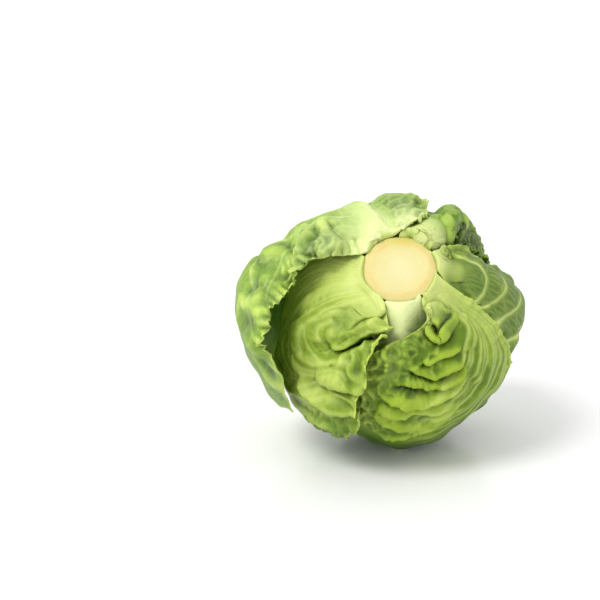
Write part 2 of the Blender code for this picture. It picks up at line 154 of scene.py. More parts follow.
def surfaceUnder(directions):
    # How far from the head's centre the outermost thing laid so far is, in each direction.
    flat = directions.reshape(-1, 3)
    start = 0.2
    found = np.zeros(len(flat))
    for i, way in enumerate(flat):
        origin, ray = Vector(way * start), Vector(-way)
        for tree in laidTrees:
            far = tree.ray_cast(origin, ray)[3]
            if far is not None:
                found[i] = max(found[i], start - far)
    return found.reshape(directions.shape[:-1])


def highestNear(fine, step):
    padded = np.pad(fine, 1, mode="edge")
    rows, columns = fine.shape
    windows = [padded[i:i + rows:step, j:j + columns:step] for i in range(3) for j in range(3)]
    return np.max(windows, axis=0)


def neighboursSum(grid, **margin):
    # The sum of each grid point's four neighbours.
    padded = np.pad(grid, [(1, 1), (1, 1)] + [(0, 0)] * (grid.ndim - 2), **margin)
    return padded[:-2, 1:-1] + padded[2:, 1:-1] + padded[1:-1, :-2] + padded[1:-1, 2:]


def softened(grid, passes):
    for _ in range(passes):
        grid = (neighboursSum(grid, mode="edge") + 2 * grid) / 6
    return grid


def draped(ways, lowest, passes):
    # How far out a sheet is that is pulled taut over the lowest places that it may have.
    radius = lowest.copy()
    for _ in range(passes):
        # A margin goes on as it runs.
        sums = neighboursSum(ways * radius[..., None], mode="reflect", reflect_type="odd")
        radius = np.maximum((sums / 4 * ways).sum(-1), lowest)
    return radius


def gridNormals(points):
    normals = unit(np.cross(np.gradient(points, axis=1), np.gradient(points, axis=0)))
    middle = (normals * points).sum(-1)[points.shape[0] // 2, points.shape[1] // 2]
    return normals * np.sign(middle)


def nearestIn(places, points):
    # For each point, which of the places is the nearest and how far off it is.
    nearby = kdtree.KDTree(len(places))
    for i, place in enumerate(places):
        nearby.insert(place, i)
    nearby.balance()
    found = [nearby.find(p) for p in points.reshape(-1, 3)]
    return [np.array([f[k] for f in found]).reshape(points.shape[:-1]) for k in (1, 2)]


def freeEdge(grid):
    return np.concatenate([grid[:, 0], grid[-1, 1:], grid[-2::-1, -1]])


def marginOf(points, normals):
    # Each point's distance to the leaf's free edge, how far along the edge that is, and the way in.
    edge = freeEdge(points)
    run = np.concatenate([[0], np.cumsum(np.linalg.norm(np.diff(edge, axis=0), axis=1))])
    ahead = np.gradient(softened(edge[:, None], 6)[:, 0], axis=0)
    inward = unit(np.cross(ahead, freeEdge(normals)))
    middle = points[points.shape[0] // 2, points.shape[1] // 2]
    inward *= np.sign((inward * (middle - edge)).sum(-1)).mean() or 1
    inward = unit(softened(inward[:, None], 12)[:, 0])
    index, far = nearestIn(edge, points)
    return far, run[index], inward[index]


def noiseAt(points, size, seed):
    shift = Vector((seed * 7.31, seed * 3.17, seed * 5.53))
    flat = [noise.noise(Vector(p) + shift) for p in points.reshape(-1, 3) / size]
    return np.array(flat).reshape(points.shape[:-1])


def slopeOf(values, points):
    # How fast values change over the sheet, per metre.
    alongStep, acrossStep = np.gradient(points, axis=0), np.gradient(points, axis=1)
    up, over = np.gradient(values, axis=0), np.gradient(values, axis=1)
    a = (alongStep ** 2).sum(-1)
    b = (alongStep * acrossStep).sum(-1)
    c = (acrossStep ** 2).sum(-1)
    square = (c * up ** 2 - 2 * b * up * over + a * over ** 2) / np.maximum(a * c - b * b, 1e-20)
    return np.sqrt(np.maximum(square, 1e-4))


def nearPath(ways, places, count):
    # A path's points on the head, and for each direction the nearest of them and its distance.
    path = curveOnHead(places, np.linspace(0, 1, count))
    far = np.linalg.norm(ways[:, :, None] - path, axis=-1)
    return path, far.argmin(-1), far.min(-1) * headRadius


def foldMoves(leaf, ways):
    # The leaf's folds: how far each point is lifted, moved sideways and how deep in a slit it is.
    lift, pull, depth = np.zeros(ways.shape[:-1]), np.zeros(ways.shape), np.zeros(ways.shape[:-1])
    uneven = 1.0
    if leaf["wander"]:
        spots, seed = ways * headRadius, leaf["seed"]
        sway = [noiseAt(spots, relief["wanderSize"] * mm, seed + k) for k in (31, 32, 33)]
        fineSway = [noiseAt(spots, relief["fineWanderSize"] * mm, seed + k) for k in (34, 35, 36)]
        push = np.stack(sway, -1) + 0.5 * np.stack(fineSway, -1)
        ways = unit(ways + push * leaf["wander"] * mm / headRadius)
        uneven = 1 + leaf["uneven"] * 2 * noiseAt(spots, relief["unevenSize"] * mm, seed + 37)
    for high, halfWidth, places in leaf["folds"]:
        path, nearest, far = nearPath(ways, places, relief["foldPoints"])
        off, share = far / (halfWidth * mm), nearest / (len(path) - 1)
        lift += (high * mm * np.exp(-off ** 2)
                 * smoothStep(share / 0.18) * smoothStep((1 - share) / 0.18))
    for high, width, deep, hollow, over, (fadeIn, fadeOut), places in leaf["lips"]:
        # A roll on the left of its path, seen from outside, that hangs over a slit on the right.
        path, nearest, far = nearPath(ways, places, relief["lipPoints"])
        leftward = unit(np.cross(path, np.gradient(path, axis=0)))[nearest]
        side = ((ways - path[nearest]) * leftward).sum(-1)
        off = np.sign(side) * far / mm
        share = nearest / (len(path) - 1)
        ends = smoothStep(share / fadeIn) if fadeIn else np.ones(share.shape)
        ends = ends * (smoothStep((1 - share) / fadeOut) if fadeOut else 1)
        ends = ends * np.clip(uneven, 0.3, 1.6)
        crest = 0.4 * width
        edge = np.sqrt(1 - np.clip((crest - off) / crest, 0, 1) ** 2)
        roll = np.where(off < crest, (high + deep) * edge - deep,
                        high * np.exp(-((off - crest) / width) ** 2))
        lift += mm * ends * np.where(off > 0, roll, -deep * np.exp(-(off / hollow) ** 2))
        hang = smoothStep(off / (0.8 * crest)) * np.exp(-(np.maximum(off - crest, 0) / width) ** 2)
        pull -= leftward * (over * mm * ends * hang)[..., None]
        # Painted shade: darkest in the slit and just under the roll's crest.
        dark = np.where(off > 0, np.exp(-(off / (0.5 * crest)) ** 2),
                        np.exp(-(off / (0.8 * hollow)) ** 2))
        depth = np.maximum(depth, dark * ends)
    for high, reach, place in leaf["cups"]:
        # A hollow with a raised rim.
        middle = direction(*map(np.array, place))
        far = np.linalg.norm(ways - middle, axis=-1) * headRadius / (reach * mm)
        lift += high * mm * (0.5 * np.exp(-((far - 1) / 0.28) ** 2) - np.exp(-(far / 0.7) ** 2))
    return lift, pull, depth


def arcDistance(leaf, ways):
    # The distance to the nearest of the long fine veins: given ones, or a fan between two curves.
    share = np.linspace(0, 1, relief["arcPoints"])
    paths = [curveOnHead(path, share) for path in leaf["arcPaths"]]
    if leaf["arcs"]:
        inner, outer, count = leaf["arcs"]
        inner, outer = curveOnHead(inner, share), curveOnHead(outer, share)
        places = [(k + 0.25 * math.sin(2.3 * k)) / (count - 1) for k in range(count)]
        paths += [unit(inner * (1 - s) + outer * s) for s in places]
    index, far = nearestIn(np.concatenate(paths), ways)
    at = index % len(share) / len(share)
    return far * headRadius, smoothStep(at / 0.1) * smoothStep((1 - at) / 0.08)


def ridged(points, size, seed):
    # Sharp creases between rounded humps, from 0 to 1.
    return 1 - np.minimum(1, 2.6 * np.abs(noiseAt(points, size, seed)))


def window(u, v, ranges, soft, amount=1):
    # The amount inside a range of v and one of u, with soft ends.
    (lowV, highV), (lowU, highU) = ranges
    return (amount * smoothStep((v - lowV) / soft[0]) * smoothStep((highV - v) / soft[1])
            * smoothStep((u - lowU) / soft[2]) * smoothStep((highU - u) / soft[3]))


def veinRelief(leaf, u, v, points, away):
    # Side veins, and small ones that join them in steps: their lift and how pale they are.
    across = np.abs(v)
    phase = veinPhase(leaf, u, v) + 0.14 * noiseAt(points, 26 * mm, leaf["seed"] + 2)
    between = 0.5 - 0.5 * np.cos(2 * np.pi * phase)
    lift = leaf["pleat"] * mm * between * smoothStep(across / 0.3) * away
    veinOff = np.abs(phase - np.round(phase)) / slopeOf(phase, points)
    strength = (1 - 0.72 * across) * smoothStep(phase / 0.6) * leaf["veinShow"] * away
    veinWide = (relief["veinWide"] - relief["veinTaper"] * across) * mm
    sideVein = np.exp(-(veinOff / veinWide) ** 2) * strength
    band = np.floor(phase)
    steps = relief["stepVeins"] * across + 0.55 * (phase - band) + 0.37 * band
    steps += 0.22 * noiseAt(points, 9 * mm, leaf["seed"] + 4)
    stepOff = np.abs(steps - np.round(steps)) / slopeOf(steps, points)
    stepVein = (np.exp(-(stepOff / (relief["stepVeinWide"] * mm)) ** 2)
                * smoothStep(between / 0.4) * strength ** 0.5)
    cell = between * (0.5 - 0.5 * np.cos(2 * np.pi * steps))
    lift += relief["veinHigh"] * mm * sideVein + relief["stepVeinHigh"] * mm * stepVein
    lift += leaf["blister"] * mm * cell * away
    return lift, np.clip(0.9 * sideVein + 0.45 * stepVein, 0, 1)


def edgeWaves(leaf, u, v, points, away, toEdge, edgeRun, ribShape):
    # Waves of the free edge, from long ones to a fine ruffle.
    frill = profile(leaf["frill"], u) * smoothStep(u / 0.3) * away
    frill = frill * (1 - leaf["calmRight"] * smoothStep((-0.3 - v) / 0.3))
    wobble = 0.35 * noiseAt(points, 30 * mm, leaf["seed"])
    wave = 0.5 + 0.5 * np.sin(2 * np.pi * (edgeRun / (relief["frillWave"] * mm) + wobble))
    yield frill * wave * np.exp(-toEdge / (relief["frillReach"] * mm))
    ruffle = leaf["ruffle"] * smoothStep((u - leaf["ruffleFrom"]) / 0.12) * (1 - ribShape)
    ruffle = ruffle * smoothStep((leaf["ruffleTo"] - u) / 0.1)
    patch = 0.7 + 0.9 * noiseAt(points, 14 * mm, leaf["seed"] + 5)
    for share, apart, sway, reach in relief["ruffles"]:
        wave = np.sin(2 * np.pi * (edgeRun / (apart * mm) + sway * wobble))
        yield share * ruffle * mm * patch * wave * np.exp(-toEdge / (reach * mm))


def crumples(leaf, u, v, points, away, ribShape):
    # Broad crumples with sharp creases in them, off the midrib, and rounded blisters.
    seed = leaf["seed"]
    if leaf["crumple"]:
        where = smoothStep((0.5 - v) / 0.6) * smoothStep((u - 0.12) / 0.12) * (1 - 0.6 * ribShape)
        where = where * (1 - 0.5 * smoothStep((-0.5 - v) / 0.5))
        where = where * (1 - smoothStep((v + 0.5) / 0.2) * smoothStep((0.36 - u) / 0.1))
        bumps = np.abs(noiseAt(points, relief["crumpleSize"] * mm, seed + 11))
        yield leaf["crumple"] * mm * 2 * where * bumps
        crosswise = np.stack([v * 2.2 + 6 * u, u * 13, 0 * u], -1)
        where = where * smoothStep((u - 0.17) / 0.07)
        crease = ridged(points, relief["creaseSize"] * mm, seed + 13)
        crease = ridged(crosswise, 1, seed + 12) + 0.5 * crease
        yield leaf["wrinkle"] * mm * where * (crease - 0.6)
    if leaf["blisters"]:
        high, size = leaf["blisters"]
        bumps = noiseAt(points, size * mm, seed + 6)
        bumps = bumps + 0.4 * noiseAt(points, 0.45 * size * mm, seed + 7)
        yield high * mm * (away * (1 - ribShape)) * bumps


def leafSurface(leaf, along, across, ways, resting):
    # Gives the draped sheet its relief, and marks what colours follow.
    u, v = np.meshgrid(along, across, indexing="ij")
    baseFade = smoothStep(u / 0.12)
    big = np.zeros(u.shape)
    for heights, (start, full, fall, end) in leaf["swells"]:
        big += (profile(heights, u) * smoothStep((v - start) / (full - start))
                * smoothStep((end - v) / (end - fall)))
    outward = ways if leaf["radial"] else unit(softened(gridNormals(resting), 40))
    points = resting + outward * (big * baseFade)[..., None]

    normals = unit(softened(gridNormals(points), 10) + leaf["radial"] * ways)
    toEdge, edgeRun, inward = marginOf(points, normals)
    fromBase = np.linalg.norm(points - points[:1], axis=-1)
    away = smoothStep((fromBase / mm - 10) / 22)
    offRib = np.linalg.norm(points - points[:, [len(across) // 2]], axis=-1)
    ribWidth = (leafBuild["ribWidthBase"] * (1 - u) + leafBuild["ribWidthTip"] * u) * mm
    ribShape = np.exp(-(offRib / ribWidth) ** 2)

    lift, pale = veinRelief(leaf, u, v, points, away)
    shade = np.zeros(u.shape)
    for amount, *ranges in leaf["shade"]:
        shade += window(u, v, ranges, relief["shadeSoft"], amount)
    pale = pale * (1 - 0.7 * np.clip(shade, 0, 1))
    # Pale patches, partly painted light, that join the veins mark.
    for amount, *ranges in leaf["paleAndLitPatches"]:
        pale = np.maximum(pale, window(u, v, ranges, relief["paleAndLitSoft"], amount))
    for bumps in (*edgeWaves(leaf, u, v, points, away, toEdge, edgeRun, ribShape),
                  *crumples(leaf, u, v, points, away, ribShape)):
        lift += bumps
    folds, pull, depth = foldMoves(leaf, ways)
    lift += folds
    if leaf["arcs"] or leaf["arcPaths"]:
        arcOff, arcStrength = arcDistance(leaf, ways)
        arc = np.exp(-(arcOff / (leaf["arcWide"] * mm)) ** 2) * arcStrength * (1 - depth)
        lift += leaf["arcHigh"] * mm * arc
        lift += leaf["arcBulge"] * mm * smoothStep(arcOff / (relief["arcGap"] * mm)) * arcStrength
        pale = np.maximum(pale, leaf["arcPale"] * arc)
    for high, size, seed, *ranges in leaf["crushed"]:
        # Small sharp creases in one part of the leaf, their crests painted lighter as a painted
        # highlight.
        where = window(u, v, ranges, relief["crushedSoft"])
        crease = ridged(points, size * mm, leaf["seed"] + seed)
        lift += high * mm * where * (crease - 0.4)
        pale = np.maximum(pale, leaf["crushedCrestLight"] * where * smoothStep((crease - 0.6) / 0.4))
    raised = np.maximum(lift, -leaf["deepest"] * mm) * baseFade
    moved = points + normals * raised[..., None] + pull * baseFade[..., None]

    # The free edge rolls outwards where curl says so.
    if leaf["curl"]:
        reach, radius, side = leaf["curl"]
        amount = (smoothStep(0.6 + 1.6 * noiseAt(points, 24 * mm, leaf["seed"] + 8))
                  * smoothStep((side * v - 0.5) / 0.2)
                  * smoothStep((u - 0.12) / 0.12) * smoothStep((1.02 - u) / 0.1))
        over = np.maximum(reach * mm * amount - toEdge, 0)
        bend = over / (radius * mm)
        moved += inward * (over - radius * mm * np.sin(bend))[..., None]
        moved += normals * (radius * mm * (1 - np.cos(bend)))[..., None]

    blade = leafBuild["blade"] * mm
    thickness = blade + leaf["base"] * mm * np.exp(
        -(fromBase / (leafBuild["baseReach"] * mm)) ** 2) * (1 - 0.8 * v ** 2)
    thickness += leaf["rib"] * mm * (1 - 0.8 * u) * ribShape

    total = lift + (thickness - blade)
    proud = (total - softened(total, 40)) / (relief["hollowDeep"] * mm)
    ribPale = min(1, leaf["rib"] / 2) * ribShape ** 1.5 * smoothStep((leaf["ribTo"] - u) / 0.1)
    marks = dict(
        veins=np.clip(np.maximum(pale, ribPale), 0, 1), shade=np.clip(shade, 0, 1),
        base=np.exp(-(fromBase / (leaf["baseFade"] * mm)) ** 2),
        # Painted shade in slits and hollows, and a painted highlight where the leaf stands proud.
        creaseShade=np.clip(depth + np.clip(-proud, 0, 1) * 0.6, 0, 1), crestHighlight=np.clip(proud, 0, 1),
        rim=np.exp(-toEdge / (relief["rimWide"] * mm)),
    )
    return moved, thickness, marks


def stemShare(upward):
    # How much of its full radius the stem has in a direction: it is flatter on its upper side.
    return 1 - stemBuild["flatter"] * smoothStep(upward)


def keepOffStem(points):
    # Moves what is too near the stem's axis straight out from it.
    up = (points @ stemAxis)[..., None] * stemAxis
    out = points - up
    far = np.linalg.norm(out, axis=-1, keepdims=True)
    upward = (out @ overAxis)[..., None] / np.maximum(far, 1e-9)
    least = (stemBuild["radius"] * stemShare(upward) + leafBuild["stemGap"]) * mm
    return up + out * np.maximum(1, least / far)


def settled(points):
    # Moves points out to where they clear what lies under them, with soft shoulders.
    for _ in range(leafBuild["settleRounds"]):
        far = np.linalg.norm(points, axis=-1)
        ways = points / far[..., None]
        short = np.maximum(surfaceUnder(ways) + leafBuild["layGap"] * mm - far, 0)
        if not short.any():
            break
        shoulders = short
        for _ in range(leafBuild["shoulderPasses"]):
            shoulders = np.maximum(short, softened(shoulders, 1))
        points = points + ways * shoulders[..., None]
    return points


def evaluatedMesh(thing):
    graph = bpy.context.evaluated_depsgraph_get()
    return bpy.data.meshes.new_from_object(thing.evaluated_get(graph))


def newPiece(name, shape):
    mesh = bpy.data.meshes.new(name)
    shape.to_mesh(mesh)
    shape.free()
    piece = bpy.data.objects.new(name, mesh)
    bpy.context.scene.collection.objects.link(piece)
    return piece


def finishPiece(piece, node, material):
    piece.data.materials.clear()
    piece.data.materials.append(material)
    piece.data.shade_smooth()
    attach(piece, "root")
    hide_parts(node)


def giveMarks(mesh, marks):
    # What colours follow, as one value at each vertex.
    for key, values in marks.items():
        kept = mesh.attributes.new(key, "FLOAT", "POINT")
        kept.data.foreach_set("value", np.array(values, np.float32).ravel())


def sheetPiece(name, points, thickness, marks):
    # A grid with its points placed, thickened on its outer side, with marks for its colours.
    rows, columns = points.shape[:2]
    shape = bmesh.new()
    bmesh.ops.create_grid(shape, x_segments=columns - 1, y_segments=rows - 1, size=1)
    sheet = newPiece(name, shape)
    mesh = sheet.data
    mesh.vertices.foreach_set("co", (points + headCentre).astype(np.float32).ravel())
    mesh.update()
    middle = mesh.vertices[(rows // 2) * columns + columns // 2]
    if middle.normal.dot(middle.co - Vector(headCentre)) < 0:
        mesh.flip_normals()
    giveMarks(mesh, marks)
    most, least = float(thickness.max()), float(thickness.min())
    group = sheet.vertex_groups.new(name="thick")
    for i, t in enumerate(((thickness - least) / max(most - least, 1e-9)).ravel()):
        group.add([i], float(t), "REPLACE")
    solidify = sheet.modifiers.new("Solidify", "SOLIDIFY")
    solidify.thickness = most
    solidify.offset = 1
    solidify.vertex_group = group.name
    solidify.thickness_vertex_group = least / most
    applied = evaluatedMesh(sheet)
    places = np.zeros(len(applied.vertices) * 3, np.float32)
    applied.vertices.foreach_get("co", places)
    places = keepOffStem(places.reshape(-1, 3) - headCentre) + headCentre
    places[:, 2] = np.maximum(places[:, 2], 0)  # flat where it lies on the floor
    applied.vertices.foreach_set("co", places.astype(np.float32).ravel())
    half = len(applied.vertices) // 2
    giveMarks(applied, dict(inside=np.arange(len(applied.vertices)) >= half))
    sheet.modifiers.clear()
    sheet.vertex_groups.clear()
    sheet.data = applied
    return sheet


def noteLaid(piece):
    centre = Vector(headCentre)
    mesh = piece.data
    laidTrees.append(BVHTree.FromPolygons(
        [v.co - centre for v in mesh.vertices], [tuple(p.vertices) for p in mesh.polygons]))


def gridLines(rows, columns):
    # Where the lines of a grid lie: along the leaf from 0 to 1, and across it from -1 to 1.
    return np.linspace(0, 1, rows + 1), np.linspace(-1, 1, columns + 1)


def layLeaf(leaf):
    # Drapes one leaf over what is there, gives it its relief and makes it a piece.
    leaf = dict(plainLeaf, **leaf)
    rows, columns = leaf["grid"]
    rays = sheetDirections(leaf, *gridLines(rows * 3, columns * 3))
    lowest = highestNear(surfaceUnder(rays), 3) + leafBuild["clearance"] * mm
    radius = draped(
        sheetDirections(leaf, *gridLines(rows, columns)), lowest, leafBuild["drapePasses"])
    along, across = gridLines(*(2 * int(n * detail / 2) for n in leaf["fine"]))
    ways = sheetDirections(leaf, along, across)
    resting = ways * spreadOut(radius, along, across)[..., None]
    points, thickness, marks = leafSurface(leaf, along, across, ways, resting)
    sheet = sheetPiece(leaf["name"] + "_blade", keepOffStem(settled(points)), thickness, marks)
    noteLaid(sheet)
    finishPiece(sheet, leaf["name"], leafMaterial(leaf))
    print("laid", leaf["name"], len(sheet.data.polygons), "faces")


class Wire:
    # A node's socket that takes part in sums as a number does.
    def __init__(self, socket):
        self.socket = socket

    @staticmethod
    def make(tree, kind, settings, inputs, output=0):
        node = tree.nodes.new("ShaderNode" + kind)
        for key, value in settings.items():
            setattr(node, key, value)
        for key, value in inputs.items():
            if isinstance(value, Wire):
                tree.links.new(value.socket, node.inputs[key])
            else:
                node.inputs[key].default_value = value
        return Wire(node.outputs[output]) if node.outputs else node

    def sum(self, operation, first, second):
        tree = self.socket.id_data
        return Wire.make(tree, "Math", dict(operation=operation), {0: first, 1: second})

    def __add__(self, other):
        return self.sum("ADD", self, other)

    __radd__ = __add__

    def __sub__(self, other):
        return self.sum("SUBTRACT", self, other)

    def __rsub__(self, other):
        return self.sum("SUBTRACT", other, self)

    def __mul__(self, other):
        return self.sum("MULTIPLY", self, other)

    __rmul__ = __mul__

    def __truediv__(self, other):
        return self.sum("DIVIDE", self, other)

    def __pow__(self, other):
        return self.sum("POWER", self, other)

    def clamped(self):
        return self.sum("MINIMUM", self.sum("MAXIMUM", self, 0.0), 1.0)


def startMaterial(name):
    material = bpy.data.materials.new(name)
    material.use_nodes = True
    tree = material.node_tree
    tree.nodes.clear()
    return material, tree, Wire.make(tree, "TexCoord", {}, {}, 3)


def finishMaterial(tree, inputs):
    shader = Wire.make(tree, "BsdfPrincipled", {}, inputs)
    Wire.make(tree, "OutputMaterial", {}, {"Surface": shader})


def painted(tree, look, first, layers):
    # The first colour with others laid over it, each as far as its mask says.
    colour = linear(look[first])
    for mask, key in layers:
        colour = Wire.make(tree, "Mix", dict(data_type="RGBA", clamp_factor=True),
                           {0: mask, 6: colour, 7: linear(look[key])}, 2)
    return colour


def bumpy(tree, strength, distance, height):
    return Wire.make(tree, "Bump", {}, {
        "Strength": strength, "Distance": distance * mm, "Height": height})


def linear(colour):
    # A colour as it looks on a screen, from 0 to 255, made linear for the shader.
    shares = [c / 255 for c in colour]
    return *(c / 12.92 if c <= 0.04045 else ((c + 0.055) / 1.055) ** 2.4 for c in shares), 1


def mark(tree, key):
    return Wire.make(tree, "Attribute", dict(attribute_name=key), {}, 2)


def cloud(tree, place, size, detailLevel=3.0, roughness=0.55, distortion=0.0):
    # Noise whose blotches are about size mm across, near 0 to 1.
    return Wire.make(tree, "TexNoise", dict(noise_dimensions="3D"), {
        "Vector": place, "Scale": 1 / (size * mm), "Detail": detailLevel,
        "Roughness": roughness, "Distortion": distortion})


def cellEdges(tree, place, size, width):
    # A net of lines between cells of about size mm: 1 on the lines, 0 off them.
    edge = Wire.make(tree, "TexVoronoi", dict(feature="DISTANCE_TO_EDGE"), {
        "Vector": place, "Scale": 1 / (size * mm)})
    return 1 - (edge / width).clamped()


def warped(tree, place, size, amount):
    # Places pushed about by noise, so that a net of cells has no straight lines.
    push = Wire.make(tree, "TexNoise", dict(noise_dimensions="3D"), {
        "Vector": place, "Scale": 1 / (size * mm), "Detail": 2.0}, 1)
    push = Wire.make(tree, "VectorMath", dict(operation="SUBTRACT"), {0: push, 1: (0.5, 0.5, 0.5)})
    push = Wire.make(tree, "VectorMath", dict(operation="SCALE"), {0: push, "Scale": amount * mm})
    return Wire.make(tree, "VectorMath", dict(operation="ADD"), {0: place, 1: push})


# Colours that the leaves share, as they look on a screen, from 0 to 255. A leaf may give others.
leafLook = dict(
    # deep is the painted shade of slits and hollows.
    deep=(30, 62, 2), dark=(92, 126, 10), mid=(134, 166, 22), light=(176, 202, 62),
    pale=(206, 222, 120), cream=(210, 220, 134), rim=(188, 210, 84),
    shadeTone=(54, 96, 4), wax=(196, 216, 190), net=0.2, bloom=0.0, rough=0.42, insideLight=0.6,
)


def leafMaterial(leaf):
    # Waxy leaf: pale veins, a rim partly painted light, a net of small veins, painted shade in
    # hollows, slits and shaded patches, painted light on crests and the inner face, and cream at
    # the base.
    look = dict(leafLook, **leaf["look"])
    material, tree, place = startMaterial(leaf["name"] + "_green")
    bent = warped(tree, place, 9, 3.0)
    veins, crestHighlight = mark(tree, "veins"), mark(tree, "crestHighlight")
    wide, patchy = cloud(tree, place, 38), cloud(tree, bent, 11)
    grain = cloud(tree, place, 1.6, 2.0)
    net, fineNet = cellEdges(tree, bent, 7.5, 0.16), cellEdges(tree, bent, 2.6, 0.2)

    # Raised crests are painted lighter here and in the next layer, a painted highlight.
    tone = (wide * 1.2 + patchy * 0.9 - 0.6 + crestHighlight * 0.4).clamped()
    layers = [
        (tone, "mid"),
        ((tone - 0.55) * 1.6 + crestHighlight * 0.5, "light"),
        (net * look["net"] + fineNet * (look["net"] * 0.5), "light"),
        (mark(tree, "shade") * (patchy * 0.8 + 0.45), "shadeTone"),
        # Painted shade in slits and hollows, towards deep.
        (grain * 0.2 + mark(tree, "creaseShade") - 0.1, "deep"),
        # Pale veins and rib; the same mark carries pale patches and crease crests that are painted
        # light.
        (veins * (0.75 + patchy * 0.4), "pale"),
        # A paler rim along the free edge: partly the thin margin's own colour, partly painted light
        # through it.
        (mark(tree, "rim") * 0.7, "rim"),
        (mark(tree, "base") * (0.8 + patchy * 0.4), "cream"),
        # The inner face painted lighter, a painted light for the light through the leaf.
        (mark(tree, "inside") * look["insideLight"], "light"),
    ]
    if look["bloom"]:
        layers.append((wide * patchy * look["bloom"] * 2, "wax"))
    height = net * -0.25 + fineNet * -0.12 + grain * 0.12 + patchy * 0.3
    height = height + cloud(tree, bent, 4.5) * 0.3
    finishMaterial(tree, {
        "Base Color": painted(tree, look, "dark", layers),
        "Roughness": (look["rough"] + grain * 0.16 - veins * 0.06).clamped(),
        "Normal": bumpy(tree, 0.55, 0.9, height), "IOR": 1.42, "Specular IOR Level": 0.42,
        "Subsurface Weight": 0.22, "Subsurface Radius": (0.9, 1.4, 0.25),
        "Subsurface Scale": 1.4 * mm})
    return material


# The cut stem, in mm: a short stump with an uneven knife-cut face.
stemBuild = dict(
    radius=21.5, footRadius=20.5, foot=71.0, cut=77.5, edge=0.6, sides=160, rings=14, flatter=0.09,
    dish=0.5, rimHigh=0.2, rimFrom=0.7, slant=0.25, slantTurn=0.6, lip=1.9, lipFrom=0.86,
    lipDrop=1.1, bumps=[(9, 0.25), (3, 0.08)], outOfRound=[(3, 1, 0.012), (7, 0, 0.01)],
    goldFrom=0.55, goldShare=0.8,
    core=(220, 215, 161), flesh=(216, 204, 134), ring=(222, 186, 106),
    bark=(208, 212, 128), gold=(204, 192, 88),
)


def stemMaterial():
    # Cut flesh: a pale core, a tan ring under the rind, fine fibres and a dry rim.
    material, tree, place = startMaterial("cutStem")
    share = mark(tree, "fromMiddle")
    patchy, grain = cloud(tree, place, 9), cloud(tree, place, 0.9, 2.0)
    fibres = cellEdges(tree, warped(tree, place, 5, 1.6), 1.7, 0.2)
    ring = (1 - ((share - 0.88 + (patchy - 0.5) * 0.2) / 0.055) ** 2).clamped()
    colour = painted(tree, stemBuild, "core", [
        (share * 1.3 + patchy * 0.5 - 0.5, "flesh"),
        (ring * ((patchy - 0.3) * 1.6).clamped(), "ring"),
        ((share - 0.95) * 12, "bark"),
        (mark(tree, "overSide") * (patchy + 0.4), "gold"),
        (fibres * 0.14, "ring"),
    ])
    height = grain * 0.5 + patchy * 0.5 + fibres * -0.3
    finishMaterial(tree, {
        "Base Color": colour, "Roughness": (0.5 + grain * 0.2).clamped(),
        "Normal": bumpy(tree, 0.4, 0.5, height), "Subsurface Weight": 0.3,
        "Subsurface Radius": (1.6, 1.1, 0.5), "Subsurface Scale": 2 * mm})
    return material


def makeStem():
    build = stemBuild
    height = build["cut"] - build["foot"]
    shape = bmesh.new()
    bmesh.ops.create_cone(
        shape, cap_ends=True, segments=build["sides"], radius1=build["footRadius"] * mm,
        radius2=build["radius"] * mm, depth=height * mm)
    top = [f for f in shape.faces if f.normal.z > 0.9]
    rim = list(top[0].edges)
    bmesh.ops.bevel(shape, geom=rim, offset=build["edge"] * mm, segments=4, profile=0.5,
                    affect="EDGES", material=-1)
    top = [f for f in shape.faces if len(f.verts) > 8 and f.normal.z > 0.9]
    ringWidth = build["radius"] * mm / (build["rings"] + 1.6)
    for _ in range(build["rings"]):
        bmesh.ops.inset_region(shape, faces=top, thickness=ringWidth)
    bmesh.ops.poke(shape, faces=top)
    turn = Vector((0, 0, 1)).rotation_difference(Vector(stemAxis)).to_matrix()
    middle = Vector(stemAxis * (build["foot"] + height / 2) * mm + headCentre)
    shares, overSides = [], []
    for vert in shape.verts:
        share = math.hypot(vert.co.x, vert.co.y) / (build["radius"] * mm)
        shares.append(share)
        upward = (turn @ vert.co).dot(Vector(overAxis)) / (build["radius"] * mm)
        overSides.append(smoothStep((upward - build["goldFrom"]) / 0.45) * build["goldShare"])
        flatter = stemShare(upward / max(share, 1e-6))
        around = math.atan2(vert.co.y, vert.co.x)
        uneven = sum(noise.noise(vert.co / (size * mm)) * high for size, high in build["bumps"])
        if vert.co.z > 0:
            lift = build["rimHigh"] * smoothStep((share - build["rimFrom"]) / 0.25)
            lift -= build["dish"] * (1 - share ** 2)
            slant = build["slant"] * share * math.sin(around + build["slantTurn"])
            vert.co.z += (lift + uneven + slant) * mm
            vert.co.z -= build["lipDrop"] * mm * smoothStep((share - build["lipFrom"]) / 0.1)
        wide = sum((much * math.sin(count * around + start)
                    for count, start, much in build["outOfRound"]), 1)
        if vert.co.z > 0:
            wide += build["lip"] / build["radius"] * smoothStep((share - build["lipFrom"]) / 0.1)
        vert.co.x *= wide * flatter
        vert.co.y *= wide * flatter
        vert.co = turn @ vert.co + middle
    stem = newPiece("stem_cut", shape)
    giveMarks(stem.data, dict(fromMiddle=shares, overSide=overSides))
    noteLaid(stem)
    finishPiece(stem, "stem", stemMaterial())
    print("made the stem")


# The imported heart: leaf edges wrap it in steps.
heartBuild = dict(
    name="inner_head", detail=6, wraps=3, swirl=0.6, step=1.4, seat=0.4,
    veinsUp=5, veinsRound=6, veinWide=0.07, veinHigh=0.3, veinPale=0.8,
    look=dict(dark=(150, 180, 70), mid=(178, 200, 96), light=(204, 218, 130)),
)


def headReach(way):
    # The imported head's radius in a direction: a ball with a few flatter sides.
    reaches, blur = [headBuild["radius"]], headBuild["flatSideBlend"]
    for place, out in headBuild["flatSides"]:
        facing = way.dot(Vector(direction(*map(np.array, place))))
        if facing > 0.05:
            reaches.append(out / facing)
    least = min(reaches)
    return least - blur * math.log(sum(math.exp((least - reach) / blur) for reach in reaches))


